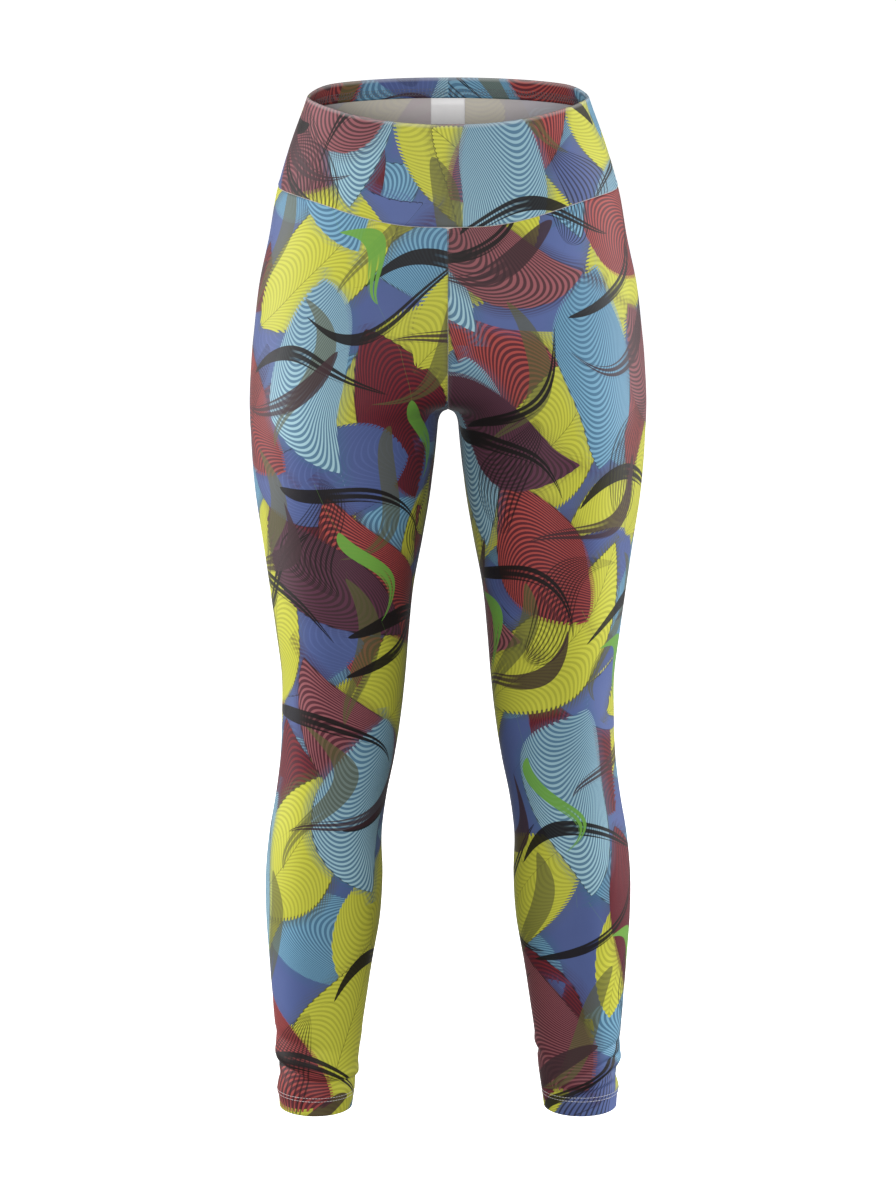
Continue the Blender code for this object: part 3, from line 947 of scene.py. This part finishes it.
def makeLabel():
    across = np.linspace(-0.5, 0.5, labelCut["columns"] + 1) * labelCut["width"]
    top = rimHeight(np.array(1.0)) - bandCut["turned"]
    down = np.linspace(-labelCut["tucked"], labelCut["length"], labelCut["rows"] + 1)
    x, drop = np.meshgrid(across, down)
    height = top - drop
    _, centre, inner, _, back, widest, bridge = section(height)
    spread = (spreadFromCentre(x, bridge) - centre) / (centre - inner)
    start, length, fall = labelCut["hang"]
    hang = fall * np.clip((drop - start) / length, 0, 1)
    middle, sides = labelCut["curl"]
    curl = middle + sides * (x / labelCut["width"]) ** 2
    curl *= np.clip(drop / labelCut["length"], 0, 1) ** labelCut["curlPower"]
    depth = labelCut["depth"] + hang + curl
    y = widest + (back - widest) * np.sqrt(1 - spread**2) - depth
    points = np.stack([x, y, height], -1)
    along = np.stack([x, -drop], -1)
    piece = clothSheet("careLabelSatin", points, along, np.zeros(x.shape))
    giveWall(piece, labelCut["wall"], (satinFinish(),))
    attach(piece, "root")
    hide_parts("care_label")


print("label")
makeLabel()

sewing = {
    "samples": 800,  # places round a leg at which its girth is measured
    "stitch": 3.1 * mm,
    "gap": 0.35 * mm,
    "ramp": 0.4 * mm,  # length over which a stitch dives into the cloth at each end
    "dive": (0.5 * mm, -0.16 * mm),  # depth of a stitch's ends and of its middle
    "thread": 0.18 * mm,  # radius
    "hemLines": (15.2 * mm, 18.6 * mm),  # twin needle rows above the leg's hem
    "stripLines": (3.0 * mm, 9.0 * mm),  # cover stitch above the turned edge's raw side
    "stripThread": 0.2 * mm,
    "stripStitch": (0.1, 0.2, 0.8, 0.9),  # where a needle stitch dives, as parts of its length
    "stripDive": (-0.3 * mm, 0.15 * mm, 0.22 * mm),  # needle's ends and middle, and the looper
}


def threads(name, paths, radius, finish):
    curve = bpy.data.curves.new(name, "CURVE")
    curve.dimensions = "3D"
    curve.bevel_depth, curve.bevel_resolution = radius, 0
    curve.use_fill_caps = True
    for path in paths:
        spline = curve.splines.new("POLY")
        spline.points.add(len(path) - 1)
        for point, place in zip(spline.points, path):
            point.co = (*place, 1)
    shape = bpy.data.objects.new(name, curve)
    mesh = bpy.data.meshes.new_from_object(shape)
    mesh.materials.clear()
    mesh.materials.append(finish)
    mesh.shade_smooth()
    bpy.data.objects.remove(shape)
    piece = intoScene(name, mesh)
    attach(piece, "root")
    return piece


def hemStitches(name, side, mirror):
    paths = []
    for lift in sewing["hemLines"]:
        dense = np.linspace(0, 1, sewing["samples"] + 1)
        height = figure["hem"] + lift
        run = distanceAlong(wallPoint(dense, 0 * dense + height, 0 * dense, side)[None])[0]
        count = round(run[-1] / sewing["stitch"])
        ends, middle = sewing["dive"]
        depth = np.array([ends, middle, middle, ends])
        for k in range(count):
            begin = run[-1] * k / count + sewing["gap"] / 2
            end = run[-1] * (k + 1) / count - sewing["gap"] / 2
            stops = np.array([begin, begin + sewing["ramp"], end - sewing["ramp"], end])
            u = np.interp(stops, run, dense)
            edge = np.minimum(stops, run[-1] - stops)
            path = wallPoint(u, 0 * u + height, depth, side, seamSink(edge))
            paths.append([(x * mirror, y, z) for x, y, z in path])
    return threads(name, paths, sewing["thread"], paleThread)


def overStrip(w, lift, depth):
    # places round the turned edge, lifted from its raw side
    u, side = bandHalf(w)
    points = wallPoint(u, rimHeight(u) - bandCut["turned"] + lift, np.full(u.shape, depth))
    points[:, 0] *= side
    return points


def coverStitch():
    low, high = sewing["stripLines"]
    ends, middle, loop = sewing["stripDive"]
    inside = 2 * cloth["fold"]
    needleDepth = inside + np.array([ends, middle, middle, ends])
    dense = np.linspace(0, 1, 2 * sewing["samples"] + 1)
    run = distanceAlong(overStrip(dense, low, inside)[None])[0]
    count = round(run[-1] / sewing["stitch"])
    needle, looper = [], []
    for k in range(count):
        for lift in (low, (low + high) / 2, high):
            stops = run[-1] * (k + np.array(sewing["stripStitch"])) / count
            needle.append(overStrip(np.interp(stops, run, dense), lift, needleDepth))
        stops = run[-1] * (k + np.array([0.0, 0.5, 1.0])) / count
        w = np.minimum(np.interp(stops, run, dense), 1)
        looper.append(overStrip(w, np.array([low, high, low]), inside + loop))
    return [threads("coverStitchNeedle", needle, sewing["stripThread"], darkThread),
            threads("coverStitchLooper", looper, sewing["stripThread"], darkThread)]


print("stitches")
hemLeft = hemStitches("hemStitchLeft", "left", 1)
hemRight = hemStitches("hemStitchRight", "right", -1)
covering = coverStitch()

allowance = {
    "width": 6.5 * mm,
    "past": 1.2 * mm,  # how far a strip reaches over its seam
    "wall": 0.9 * mm,
    "under": 1.5 * mm,  # depth of its outer face under the cloth's face
    "riseUnder": 0.6 * mm,  # how much deeper the strip over the rise lies
    "start": 0.20,  # place on the printed cloth
    "columns": 6,
    "waistColumns": 160,
    "waistRows": (1.5, -1, 5),  # top and foot, in half widths from the seam, and how many
    "riseRows": (70, 76),  # in front and behind
    "inseamRows": 230,
    "inseamEnd": 22 * mm,  # height over the hem
    "inseamSamples": (0.06, 60),  # part of the way round that is measured, in how many places
    "clear": (2 * mm, 0.4 * mm, 2 * mm),  # kept from the waist seam, above and below the crotch
}


def seamStrip(name, points, joined=None):
    run = distanceAlong(points)
    down = distanceAlong(points.transpose(1, 0, 2)).T
    along = np.stack([run + allowance["start"], down], -1)
    piece = clothSheet(name, points, along, np.zeros(run.shape), 1, joined)
    giveWall(piece, allowance["wall"], (wrongSide,))
    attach(piece, "root")
    return piece


def waistAllowance():
    w = np.linspace(0, 1, allowance["waistColumns"] + 1)
    rows = np.linspace(*allowance["waistRows"]) * allowance["width"] / 2
    across, level = np.meshgrid(w, rows)
    u, side = bandHalf(across)
    points = wallPoint(u, seamHeight(u) + level, np.full(u.shape, allowance["under"]))
    points[..., 0] = np.where((u == 0) | (u == 1), 0, points[..., 0]) * side
    return seamStrip("waistSeamAllowance", points, lambda row: True)


def riseAllowance(crotch, across):
    # from the waist seam in front, under the crotch and up behind
    start, above, _ = allowance["clear"]
    inFront, behind = allowance["riseRows"]
    down = np.linspace(seamHeight(np.array(0.0)) + start, crotch + above, inFront)
    up = np.linspace(crotch + above, figure["seamSide"] + start, behind)
    line = skin(np.repeat([0.0, 1.0], (inFront, behind)), np.concatenate([down, up]))
    under = line - outward(line) * (allowance["under"] + allowance["riseUnder"])
    points = [under + np.array([offset - figure["seamGap"] / 2, 0, 0]) for offset in across]
    return seamStrip("riseSeamAllowance", np.array(points))


def inseamAllowance(name, side, mirror, crotch, across):
    _, _, below = allowance["clear"]
    near = np.linspace(0, *allowance["inseamSamples"])
    rows = []
    for height in np.linspace(crotch - below, figure["hem"] + allowance["inseamEnd"],
                              allowance["inseamRows"]):
        run = distanceAlong(skin(1 - near, np.full(near.shape, height))[None])[0]
        u = (1 - np.interp(across, run, near)) % 1.0
        u = np.where(across < 0, np.interp(-across, run, near), u)
        row = wallPoint(u, np.full(u.shape, height), np.full(u.shape, allowance["under"]), side)
        rows.append(row * (mirror, 1, 1))
    return seamStrip(name, np.array(rows))


def makeAllowances():
    # pressed seam allowances inside: round the waist seam, over the rise, down each inseam
    crotch = crotchHeight()
    across = np.linspace(-allowance["past"], allowance["width"], allowance["columns"])
    return (waistAllowance(), riseAllowance(crotch, across),
            inseamAllowance("inseamAllowanceLeft", "left", 1, crotch, across),
            inseamAllowance("inseamAllowanceRight", "right", -1, crotch, across))


print("seam allowances")
waistStrip, riseStrip, inseamLeft, inseamRight = makeAllowances()

print("floor, light and camera")
studio = {
    "floor": -1.10,
    "target": (0.0, 0.0, -0.4891),
    "distance": 6.0,
    "elevation": 13.0,
    "lens": 186.3,
    "floorSize": 30,
    "floorGlow": 0.85,
    "sky": (0.27, 0.05),  # ambient light from above and from under the horizon
    "horizon": 0.7,  # softness of the change between them
    "lights": (  # place, size and power
        dict(name="front", place=(-0.5, -8.0, 1.3), size=2.0, power=560),
        dict(name="sideLeft", place=(-3.0, 0.6, -0.3), size=1.8, power=125),
        dict(name="sideRight", place=(3.0, 0.6, -0.3), size=1.8, power=125),
        dict(name="top", place=(0, -0.6, 2.4), size=1.6, power=8, aim=(0, 0, 0)),
    ),
}

work = bmesh.new()
bmesh.ops.create_grid(work, x_segments=1, y_segments=1, size=studio["floorSize"])
floorMesh = bpy.data.meshes.new("studioFloor")
work.to_mesh(floorMesh)
work.free()
floorMesh.transform(Matrix.Translation((0, 0, studio["floor"])))
floor = intoScene("studioFloor", floorMesh)
floorFinish = Finish("floorPaper", Roughness=0.9, Base_Color=(0.9, 0.9, 0.9, 1),
                     Emission_Color=(1, 1, 1, 1), Emission_Strength=studio["floorGlow"],
                     Specular_IOR_Level=0.0)
floorMesh.materials.append(floorFinish.material)

world = bpy.data.worlds.new("studio")
bpy.context.scene.world = world
world.use_nodes = True
room = Nodes(world.node_tree)
_, _, up = room.parts(room.node("ShaderNodeTexCoord", {}, {}, 0))
above, below = studio["sky"]
feed(room.tree, room.tree.nodes["Background"].inputs[0],
     room.mix(soft(up, studio["horizon"]), (below, below, below), (above, above, above)))


def areaLight(name, place, size, power, aim=studio["target"]):
    lamp = bpy.data.lights.new(name, "AREA")
    lamp.shape, lamp.size, lamp.energy = "DISK", size, power
    thing = intoScene(name, lamp)
    thing.location = place
    thing.rotation_euler = (Vector(aim) - Vector(place)).to_track_quat("-Z", "Y").to_euler()


for light in studio["lights"]:
    areaLight(**light)
floor.visible_diffuse = floor.visible_glossy = False  # the paper doesn't light the cloth

camera = intoScene("camera", bpy.data.cameras.new("camera"))
tilt = math.radians(studio["elevation"])
camera.location = Vector(studio["target"]) + studio["distance"] * Vector(
    (0, -math.cos(tilt), math.sin(tilt)))
camera.rotation_euler = (math.pi / 2 - tilt, 0, 0)
camera.data.sensor_width, camera.data.lens = 36, studio["lens"]
camera.data.clip_end = 100
bpy.context.scene.camera = camera
bpy.context.scene.view_settings.view_transform = "Standard"
